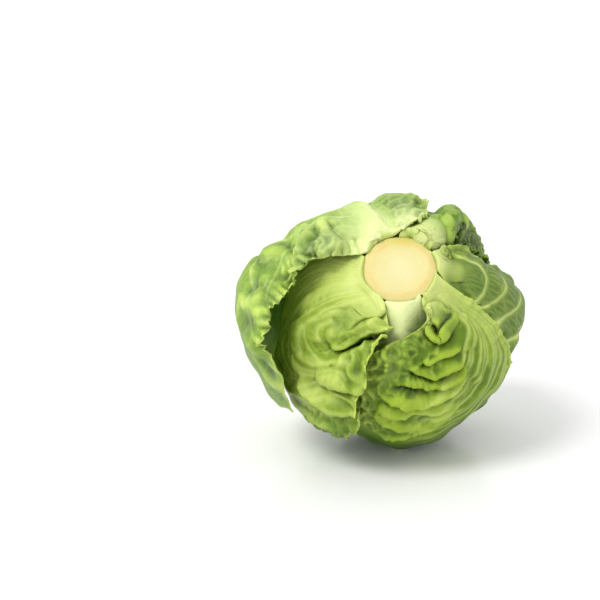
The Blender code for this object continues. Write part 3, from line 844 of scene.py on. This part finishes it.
def makeHeart():
    build = heartBuild
    shape = bmesh.new()
    bmesh.ops.create_icosphere(shape, subdivisions=build["detail"], radius=1)
    axis, over, side = Vector(stemAxis), Vector(overAxis), Vector(sideAxis)
    seat = stemBuild["foot"] - build["seat"]
    veins = []
    for vert in shape.verts:
        way = vert.co.normalized()
        up = way.dot(axis)
        turn = math.atan2(way.dot(over), way.dot(side)) / (2 * math.pi)
        swirl = (build["wraps"] * turn + build["swirl"] * up) % 1.0
        rising = math.asin(max(-1.0, min(1.0, up)))
        fade = math.sin(math.acos(max(-1.0, min(1.0, up))))
        phase = build["veinsUp"] * rising + build["veinsRound"] * swirl + noise.noise(way * 3)
        vein = math.exp(-((phase - round(phase)) / build["veinWide"]) ** 2)
        veins.append(vein * build["veinPale"])
        sunk = build["step"] * swirl * fade
        place = way * (headReach(way) - sunk - build["veinHigh"] + build["veinHigh"] * vein)
        above = place.dot(axis) - seat
        if above > 0:
            place -= axis * above
        vert.co = place * mm + Vector(headCentre)
    heart = newPiece("heart_leaves", shape)
    blank = dict.fromkeys(["base", "creaseShade", "crestHighlight", "rim", "shade"], [0.0] * len(veins))
    giveMarks(heart.data, dict(veins=veins, **blank))
    noteLaid(heart)
    finishPiece(heart, build["name"], leafMaterial(build))
    print("made the heart")


makeHeart()
makeStem()

# The two innermost loose leaves, left and behind.
innerLeafLeft = dict(
    name="inner_leaf_left", seed=1, grid=(14, 12), fine=(90, 80), base=0.0, rib=2.0,
    frill=[(0, 0.6), (1, 0.6)], pleat=0.6, veins=6,
    lines=[
        [(24, 180), (60, 152), (100, 142), (140, 132), (163, 110)],
        [(24, 215), (60, 212), (100, 210), (140, 208), (172, 205)],
        [(24, 250), (60, 274), (100, 284), (140, 292), (163, 300)],
    ],
    # Its colours are raised, a painted light for the glow through the leaves in the shaded gap.
    look=dict(dark=(110, 152, 18), mid=(142, 184, 30), light=(176, 208, 66)),
)
innerLeafBack = dict(
    name="inner_leaf_back", seed=2, grid=(16, 14), fine=(110, 100), base=0.0, rib=2.0,
    pleat=0.8, veins=7,
    lines=[
        [(24, 62), (60, 34), (100, 20), (130, 2), (150, -26)],
        [(24, 96), (60, 94), (100, 92), (150, 90), (202, 90)],
        [(24, 130), (60, 150), (100, 160), (130, 180), (150, 208)],
    ],
    look=dict(dark=(96, 136, 34), mid=(136, 170, 60), light=(176, 200, 100), bloom=0.25),
)
layLeaf(innerLeafLeft)
layLeaf(innerLeafBack)

# The leaf below, whose pale midrib runs down from the stem.
frontRibLeaf = dict(
    name="front_rib_leaf", seed=3, grid=(18, 16), fine=(150, 130), rib=5.0,
    frill=[(0, 1), (1, 2.4)], pleat=1.0, veins=7, scallop=0.02, baseFade=12, veinShow=0.5,
    swells=[([(0, 0), (0.5, 0.5), (0.68, 3), (0.85, 4.5), (1, 3)], (-1.6, -0.5, 0.5, 1.6))],
    shade=[(0.9, (-1.5, 1.5), (0.55, 1.4))],
    lines=[
        [(17, 253), (35, 226), (65, 208), (100, 200), (134, 212)],
        [(16.5, 275), (40, 272), (75, 270), (110, 270), (152, 270)],
        [(17, 299), (35, 324), (65, 342), (100, 348), (134, 334)],
    ],
    look=dict(dark=(62, 100, 4), mid=(88, 126, 10), light=(128, 160, 34),
              pale=(234, 244, 172), cream=(236, 246, 178)),
)
layLeaf(frontRibLeaf)

# The leaf on the right, with its margin curled near the stem.
rightLeaf = dict(
    name="right_leaf", seed=4, grid=(20, 16), fine=(190, 150), rib=1.0, ribTo=0.2,
    frill=[(0, 2), (0.3, 1), (1, 0.6)], pleat=0.8, ruffle=0.3, blisters=(0.8, 11), baseFade=7,
    veinShow=0.3, blister=0.25,
    swells=[([(0, 0), (0.3, 2), (0.6, 3.5), (1, 1.5)], (-0.4, 0.1, 0.3, 0.9))],
    lines=[
        [(16.2, -4), (31, -24), (48, -30), (66, -34), (84, -40), (112, -46), (134, -48)],
        [(15.8, 8), (31, 3), (48, 0), (66, -3), (84, -6), (112, -10), (140, -14)],
        [(15.5, 28), (23, 31), (34, 30), (50, 29), (79, 29), (110, 24), (134, 16)],
    ],
    arcPaths=[
        [(24.7, 22.2), (32.6, 16), (38.5, 11.6), (41.9, 4.7), (42.3, -4.4), (40.3, -13.8),
         (37.3, -20.3)],
        [(31, 26), (40.1, 21.9), (48.7, 17), (54.6, 11.8), (56.3, 4.5), (52.6, -3.9), (47, -13.8),
         (42.5, -20)],
        [(47, 25), (58.8, 15), (68, 11), (72, 5.1), (64.5, -6.5), (56.7, -16.8), (51, -24)],
        [(70, 24), (82, 16), (86, 5), (78, -8), (70, -18), (62, -27)],
    ],
    arcHigh=0.9, arcBulge=1.6, arcWide=1.5, arcPale=1.0,
    folds=[(4.0, 4.5, [(16, 14), (17, 22), (22, 29), (28, 30), (34, 27), (38, 27)])],
    shade=[(0.5, (-0.6, 0.6), (0.14, 0.36)), (0.45, (-0.9, 0.5), (0.42, 0.55)),
           (0.4, (-1.2, -0.3), (0.5, 1.1))],
    crushed=[(2.8, 4.5, 25, (0.45, 1.3), (0.02, 0.26))],
    look=dict(dark=(76, 106, 12), mid=(104, 130, 24), light=(134, 160, 46),
              pale=(200, 216, 116), bloom=0.05, net=0.08),
)
layLeaf(rightLeaf)

# The large leaf right of the seam, in rows of folds that run into it.
frontRightLeaf = dict(
    name="front_right_leaf", seed=5, grid=(28, 28), fine=(200, 200), rib=0.0,
    frill=[(0, 1), (1, 0.6)], veinShow=0.0, blister=0.0, ruffle=0.9,
    swells=[
        ([(0, 0), (0.2, 2), (0.5, 3), (0.8, 2.5), (1, 1)], (-1.6, -0.5, 0.5, 1.6)),
        ([(0.07, 0), (0.2, 4), (0.5, 5), (0.7, 2), (0.8, 0)], (-1.3, -1.2, 0.1, 0.7)),
    ],
    lines=[
        [(18.5, 303), (27, 293), (36, 264), (46, 249), (62, 247), (80, 248), (98, 254)],
        [(17, 314), (29, 303), (41, 284), (54, 272), (70, 266), (89, 267), (107, 270)],
        [(16.2, 326), (29, 316), (44, 300), (57, 293), (73, 290), (91, 288), (109, 288)],
        [(16, 339), (30, 328), (46, 318), (61, 312), (77, 309), (94, 307), (111, 307)],
        [(16, 351), (31.5, 341), (48, 337), (62, 334.5), (76, 331), (92, 327), (108, 323)],
    ],
    arcs=([(15, 330), (24, 324), (33, 322), (40.4, 321), (45.6, 314.3), (52, 306), (55, 297),
           (56, 288),
           (57, 274)],
          [(14, 352), (31, 343), (50, 340), (66, 337), (82, 333), (95, 325), (104, 310), (108, 292),
           (108, 270)], 15),
    deepest=6.0, curl=(3.0, 1.5, -1), wander=3.4, uneven=0.6,
    crushed=[(3.2, 7.5, 21, (-1.3, -0.6), (0.2, 0.85)), (1.4, 5.0, 22, (-1.3, 0.0), (0.2, 0.85))],
    crushedCrestLight=0.1, paleAndLitPatches=[(0.25, (-1.5, -0.55), (0.3, 0.9))],
    shade=[(0.2, (-1.0, 0.1), (0.3, 0.55)), (1.0, (-1.3, 1.5), (0.82, 1.4))], ruffleTo=0.7,
    arcHigh=0.35, arcBulge=0.6, arcWide=1.0,
    lips=[
        (3.4, 4.5, 3.0, 2.4, 1.8, (0.05, 0.05), [
            (26.9, 294), (32.3, 293), (36.4, 298.9), (36.9, 308.1), (34, 315.9), (28.1, 316.1),
            (24.1, 307.7),
            (24.9, 297.4)]),
        (1.6, 2.6, 4.5, 1.8, 1.2, (0.15, 0.15), [
            (31.5, 293.6), (28.5, 296.3), (28.7, 303.4), (32.2, 305.4), (34.1, 300.3)]),
        (1.8, 3.0, 2.4, 1.6, 1.2, (0.2, 0.2), [(30, 316), (31.6, 312), (32.8, 308), (34.2, 303)]),
        (2.8, 2.8, 5.0, 3.4, 1.8, (0.15, 0.3), [
            (40.5, 284), (42.8, 289), (44, 297), (44.4, 306), (42, 314)]),
        (3.0, 2.8, 5.0, 3.2, 1.8, (0.2, 0.25), [
            (45.2, 273), (47.5, 279.6), (49.8, 287.6), (50.9, 298.4), (50.8, 307.8), (48.9, 315)]),
        (2.6, 2.6, 4.6, 3.0, 1.6, (0.2, 0.25), [
            (50.1, 268), (52.4, 277.8), (54.6, 285.5), (56.2, 295.7), (56.6, 304.6), (54.4, 313)]),
        (3.2, 2.8, 4.6, 3.4, 1.8, (0.2, 0.25), [
            (55.9, 262), (57.4, 272.1), (60.6, 280.4), (62.4, 291.1), (62, 300.4), (59, 311)]),
        (3.2, 3.0, 4.4, 3.4, 1.8, (0.15, 0.3), [
            (62.7, 259), (64, 269.9), (68, 278.8), (69.6, 288.6), (68.4, 299.5), (64.8, 311)]),
        (2.8, 3.0, 4.0, 3.2, 1.6, (0.15, 0.3), [
            (69.7, 256), (71.8, 267), (75.8, 275.5), (76.8, 284), (75.4, 294), (72, 305)]),
        (2.4, 3.2, 3.0, 3.0, 1.4, (0.15, 0.35), [
            (78.3, 255), (82.1, 263.1), (85.8, 270.5), (84.8, 278.8), (81.4, 288.5), (77.5, 300)]),
    ],
    folds=[
        (2.2, 3.2, [(49, 314), (45.6, 318), (40.4, 321.8), (34, 324)]),
        (2.4, 3.4, [(66, 308), (61.8, 312.4), (55.5, 318.6), (48.3, 323.1), (40, 326)]),
        (2.0, 3.4, [(78, 300), (74, 309), (68, 317), (60, 323.5), (50, 328)]),
        (1.8, 3.0, [(38, 262), (41, 270), (44, 275), (46, 281)]),
    ],
    look=dict(dark=(76, 108, 6), mid=(112, 144, 16), light=(156, 182, 48),
              cream=(206, 218, 128), shadeTone=(46, 80, 2), net=0.1),
)
layLeaf(frontRightLeaf)

# The large leaf left of the seam, with deep slits between its folds.
frontLeftLeaf = dict(
    name="front_left_leaf", seed=6, grid=(28, 26), fine=(200, 190), rib=1.2,
    frill=[(0, 1), (1, 2)], veinShow=0.0, blister=0.0, ruffle=0.8,
    swells=[
        ([(0, 0), (0.2, 2), (0.5, 3), (0.8, 3), (1, 1.5)], (-1.6, -0.5, 0.5, 1.6)),
        ([(0.55, 0), (0.75, 3.5), (0.9, 5), (1, 3)], (0.1, 0.6, 1.2, 1.3)),
        ([(0.08, 0), (0.25, 4), (0.65, 5), (0.85, 2), (0.95, 0)], (-0.3, 0.4, 1.2, 1.3)),
    ],
    lines=[
        [(16.5, 163), (35, 150), (65, 148), (100, 158), (130, 182)],
        [(16.5, 203), (33, 197), (58, 198), (86, 204), (116, 216)],
        [(17.5, 249), (27, 263), (33, 266), (39, 260), (48, 255.5), (56, 255), (65, 256.5),
         (80, 252),
         (98, 243)],
    ],
    arcs=([(17, 244), (24, 228), (33, 218), (43, 213.5), (53, 213), (58, 220), (56.4, 227),
           (52.3, 235.1), (47.7, 244), (45, 251)],
          [(15, 176), (32, 160), (58, 158), (84, 172), (102, 192), (103, 208), (95, 220), (87, 231),
           (82, 240), (79, 248)], 12),
    deepest=5.0, curl=(2.4, 1.3, 1),
    shade=[(0.5, (-0.05, 1.4), (0.2, 0.8)), (1.0, (0.3, 1.4), (0.68, 1.3))], ruffleTo=0.97,
    arcHigh=0.8, arcBulge=1.0, arcWide=1.4, arcPale=0.55, paleAndLitPatches=[(0.7, (-1.4, 0.0), (0.05, 0.95))],
    arcPaths=[
        [(30.6, 226.4), (40.4, 216.4), (48.9, 213.4), (52.4, 221), (53.2, 231), (50, 240)],
        [(36, 224), (40.5, 220.6), (44.5, 219.6), (47, 223)],
    ],
    wander=2.3, uneven=0.35, crushedCrestLight=0.1,
    crushed=[
        (3.0, 9.0, 23, (0.76, 1.4), (0.24, 0.8)), (3.0, 6.5, 24, (0.5, 1.4), (0.72, 1.1)),
        (0.5, 6.0, 30, (0.0, 1.4), (0.2, 0.85)),
    ],
    lips=[
        (2.6, 4.4, 4.0, 2.0, 2.0, (0.5, 0), [
            (35.4, 229), (34.7, 232.6), (30.2, 238.5), (26.5, 247.9), (22.4, 255), (20, 260),
            (19, 266)]),
        (3.8, 6.5, 5.0, 2.6, 2.6, (0.35, 0), [
            (45.1, 221), (45.7, 228.7), (45.3, 234.2), (43, 240.4), (39.8, 245), (36.5, 249.2),
            (33, 258.8),
            (31, 268)]),
        (3.8, 4.4, 5.0, 3.0, 2.6, (0.2, 0), [
            (58.6, 229.4), (59.2, 235.3), (57.3, 242.5), (53.6, 249.4), (50, 255)]),
        (4.2, 5.0, 5.0, 3.4, 2.8, (0.2, 0), [
            (67.8, 222.5), (68.6, 230.3), (67.1, 239.4), (65.5, 247.3), (62, 255)]),
        (3.0, 5.0, 4.0, 3.2, 2.0, (0.25, 0), [
            (96, 229), (88.5, 234), (83.2, 238.9), (78.2, 243.8), (73.8, 250.6), (72, 258)]),
    ],
    folds=[
        (3.4, 5.2, [
            (62, 208), (53.9, 208.2), (39.9, 211.7), (27.2, 222.3), (18.8, 246), (16, 256)]),
        (2.4, 3.0, [(44, 222), (38, 228), (33, 236), (28.5, 246), (25.5, 258)]),
        (3.0, 3.4, [
            (46, 218), (40, 229), (37.1, 233.5), (32.6, 241.9), (29.4, 249.9), (27.5, 260)]),
        (2.6, 3.2, [(59.5, 209), (58, 220.4), (56.4, 227), (52.3, 235.1), (47.7, 244), (42, 253)]),
        (2.4, 3.0, [
            (61, 214), (63.4, 218.5), (65.1, 224.4), (65.3, 230.1), (65.7, 236.1), (67.2, 244.6),
                    (65.6, 250)]),
        (1.8, 2.6, [(56, 234), (55.5, 239), (53, 243.5), (49.5, 248)]),
        (2.8, 3.6, [(79.3, 210), (80.3, 217.7), (77.1, 223.3), (72.6, 230.9), (68, 238.1),
                    (67.2, 244.6), (66, 250)]),
        (2.8, 4.4, [
            (96.1, 206), (98.1, 215.7), (87.2, 225.9), (81.8, 232.9), (77, 241.5), (76.3, 249)]),
    ],
    # Its colours are lighter, partly painted light against the shadow of the top leaf's flap.
    look=dict(dark=(134, 160, 38), mid=(166, 190, 60), light=(204, 220, 104),
              shadeTone=(84, 120, 8),
              cream=(206, 218, 128), net=0.08),
)
layLeaf(frontLeftLeaf)

# The dark crushed leaf at the upper right, on its smooth white midrib.
crumpledLeaf = dict(
    name="crumpled_leaf", seed=7, grid=(24, 20), fine=(200, 200), rib=6.5, ribTo=0.24, baseFade=13,
    frill=[(0, 1), (0.4, 2), (1, 2)], pleat=0.4, veins=9, scallop=0.03, crumple=0.3, wrinkle=2.6,
    wander=1.4, uneven=0.2, deepest=6.0, blister=0.0, veinShow=0.15,
    folds=[
        (3.4, 9.0, [(10, 62), (14, 62), (18.5, 61), (22, 57), (25, 51), (29, 46)]),
        (3.0, 2.6, [(46, 62), (38, 56), (32, 50), (28.5, 44)]),
        (3.0, 2.4, [(50, 66), (40, 62), (34, 57)]),
        (3.0, 2.0, [(40, 44), (35, 38), (32.5, 32)]),
    ],
    lips=[
        (3.0, 3.0, 6.0, 3.0, 1.6, (0.15, 0.1), [(31.5, 58), (28, 47.6), (25.2, 39.4), (22.7, 30)]),
        (2.4, 2.2, 6.0, 2.2, 1.4, (0.2, 0.15), [
            (46, 55), (42.2, 51.7), (35.6, 45.9), (30.5, 39.6), (27.2, 33)]),
        (2.4, 2.2, 6.0, 2.0, 1.4, (0.2, 0.15), [
            (42.5, 50.5), (39.1, 44.1), (36.1, 36.8), (34.8, 30)]),
        (2.2, 2.2, 6.0, 2.2, 1.4, (0.15, 0.1), [
            (25.5, 37.8), (27, 30.6), (29.1, 22.5), (32.2, 15), (35.1, 9)]),
        (2.2, 2.2, 6.0, 2.0, 1.4, (0.15, 0.1), [
            (29.1, 34), (31, 28), (33.4, 21.2), (35.7, 14.7), (38.7, 9)]),
        (2.2, 2.2, 6.0, 2.0, 1.4, (0.15, 0.15), [
            (32.6, 33.5), (34.5, 28.3), (35.9, 22.3), (37, 16.1)]),
        (2.0, 2.4, 5.0, 2.0, 1.2, (0.2, 0.2), [(54, 48), (47, 41), (44, 32), (44, 22)]),
    ],
    crushed=[(2.2, 5.5, 28, (-1.3, -0.35), (0.2, 0.95)), (0.5, 3.4, 29, (-1.3, 0.1), (0.3, 0.95))],
    shade=[(0.95, (-1.4, -0.3), (0.14, 0.9))], paleAndLitPatches=[(0.85, (-0.5, 0.5), (-0.2, 0.34))],
    swells=[([(0.15, 0), (0.35, 5), (0.6, 12), (0.8, 11), (1, 3)], (-0.9, -0.25, 0.05, 0.5))],
    ruffle=1.2,
    lines=[
        [(15.4, 34), (22, 42), (27, 43), (33, 40), (46, 38), (72, 37), (104, 40)],
        [(14.8, 60), (24, 55), (45, 56), (80, 58), (124, 62)],
        [(16, 83), (45, 98), (80, 102), (118, 98)],
    ],
    # Its deep is the darker painted shade of its creases.
    look=dict(deep=(12, 36, 0), dark=(74, 110, 8), mid=(104, 142, 18),
              light=(146, 180, 48),
              rim=(134, 168, 46), cream=(206, 220, 134), pale=(222, 234, 162),
              shadeTone=(36, 66, 0), net=0.1),
)
layLeaf(crumpledLeaf)

# The loose outer leaf over the top and the left, whose margin stands well off the head.
topLeaf = dict(
    name="top_leaf", seed=8, grid=(26, 22), fine=(210, 200), rib=4.5,
    frill=[(0, 2), (0.3, 3), (0.5, 3), (1, 2.4)], pleat=0.8, veins=9, scallop=0.012, veinShow=0.7,
    blister=0.2, calmRight=0.8, wander=3.0, uneven=0.5,
    swells=[
        ([(0, 0), (0.12, 4), (0.25, 14), (0.38, 18), (0.48, 8), (0.58, 0)],
         (-0.2, 0.75, 0.82, 1.3)),
        ([(0.42, 0), (0.52, 4), (0.58, 13), (0.65, 26), (0.74, 27), (0.84, 19), (0.93, 8), (1, 2)],
         (0.45, 0.72, 0.9, 1.3)),
        ([(0, 0), (0.3, 2), (0.6, 9), (0.8, 11), (1, 4)], (-0.2, 0.4, 0.6, 1.3)),
    ],
    ruffle=3.6, ruffleFrom=0.12, ruffleTo=0.86, curl=(3.6, 2.0, 1), blisters=(0.4, 10), baseFade=22,
    deepest=4.0, radial=0.7,
    cups=[(4.0, 9.0, (54.7, 203.0)), (4.0, 8.0, (64.1, 215.4))],
    crushed=[(3.0, 8.0, 26, (-1.3, -0.35), (0.16, 0.6)), (2.4, 5.5, 27, (0.72, 1.5), (0.12, 0.6))],
    shade=[(0.75, (-1.3, -0.4), (0.14, 0.6)), (0.6, (0.6, 1.4), (0.16, 0.45)),
           (0.4, (0.6, 1.4), (0.74, 1.1))],
    paleAndLitPatches=[(0.55, (-0.5, 0.4), (0.05, 0.5))],
    folds=[
        (3.0, 5.0, [(18, 88), (24, 82), (31, 80), (40, 85), (52, 89)]),
        (4.0, 6.5, [(12, 132), (16, 130), (22.5, 124), (32.5, 121.6), (41, 123), (47, 124)]),
        (-4.4, 2.2, [(44, 146), (41.4, 152.1), (33.8, 161.5), (33.5, 173.1), (34, 180)]),
        (-4.4, 2.0, [(36, 144), (31.2, 150), (24.5, 162.5), (25.8, 173.1), (27, 180)]),
        (-3.6, 2.0, [(56, 152), (53.7, 158.9), (42.2, 173.3), (43.6, 183.1), (45, 190)]),
        (-3.6, 2.2, [(64, 158), (60.4, 164.6), (50.1, 178.3), (48.6, 188.2), (50, 196)]),
        (-3.0, 1.8, [(25, 150), (21.9, 154.3), (18.1, 166.4), (18, 174)]),
        (2.2, 4.0, [(50, 148), (47, 156), (38, 168), (38.5, 178), (40, 186)]),
        (2.2, 4.0, [(38, 140), (35, 150), (28.5, 162), (29.5, 173), (31, 180)]),
    ],
    lines=[
        [(16, 86), (20, 74), (27, 66), (38, 74), (58, 80), (90, 84), (122, 92)],
        [(16, 126), (30, 119), (54, 124), (90, 138), (132, 156)],
        [(16, 155), (21, 165), (26, 171), (33.5, 176.5), (40, 184), (44, 188), (46, 197),
         (47, 209.5),
         (54.5, 214), (60, 221.5), (82, 228)],
    ],
    look=dict(dark=(100, 138, 18), mid=(140, 174, 38), light=(190, 212, 88),
              pale=(220, 234, 150), rim=(206, 226, 110), cream=(226, 238, 160),
              bloom=0.15),
)
layLeaf(topLeaf)


# The floor, the light and the camera, in metres and degrees.
studio = dict(
    floorHalf=6.0, floorDim=(244, 244, 244), floorBright=(248, 248, 248), world=0.93,
    sunFrom=(-0.6, -0.55, 1.0), sunSpread=26, sunPower=1.7,
    away=1.1, lens=100, film=36, elevation=16.0, yaw=3.679, pitch=0.587,
)


def floorMaterial():
    material, tree, place = startMaterial("palePaperFloor")
    tone = cloud(tree, place, 300)
    finishMaterial(tree, {
        "Base Color": painted(tree, studio, "floorDim", [(tone, "floorBright")]),
        "Roughness": tone * 0.02 + 0.2, "IOR": 1.45})
    return material


def makeStudio():
    build = studio
    shape = bmesh.new()
    bmesh.ops.create_grid(shape, x_segments=4, y_segments=4, size=build["floorHalf"])
    floor = newPiece("floor", shape)
    floor.data.materials.append(floorMaterial())

    world = bpy.data.worlds.new("whiteRoom")
    world.use_nodes = True
    back = world.node_tree.nodes["Background"]
    back.inputs["Color"].default_value = (1, 1, 1, 1)
    back.inputs["Strength"].default_value = build["world"]
    bpy.context.scene.world = world

    light = bpy.data.lights.new("window", "SUN")
    light.angle, light.energy = math.radians(build["sunSpread"]), build["sunPower"]
    lamp = bpy.data.objects.new("window", light)
    lamp.rotation_euler = (-Vector(build["sunFrom"])).to_track_quat("-Z", "Y").to_euler()
    bpy.context.scene.collection.objects.link(lamp)

    camera = bpy.data.objects.new("camera", bpy.data.cameras.new("camera"))
    camera.data.lens, camera.data.sensor_width = build["lens"], build["film"]
    lift = math.radians(build["elevation"])
    forward = Vector((0, math.cos(lift), -math.sin(lift)))
    camera.location = Vector(headCentre) - forward * build["away"]
    forward.rotate(Matrix.Rotation(math.radians(build["yaw"]), 3, "Z"))
    right = forward.cross(Vector((0, 0, 1))).normalized()
    forward.rotate(Matrix.Rotation(math.radians(build["pitch"]), 3, right))
    camera.rotation_euler = forward.to_track_quat("-Z", "Y").to_euler()
    bpy.context.scene.collection.objects.link(camera)
    bpy.context.scene.camera = camera
    bpy.context.scene.view_settings.view_transform = "Standard"
    print("set the studio")


makeStudio()
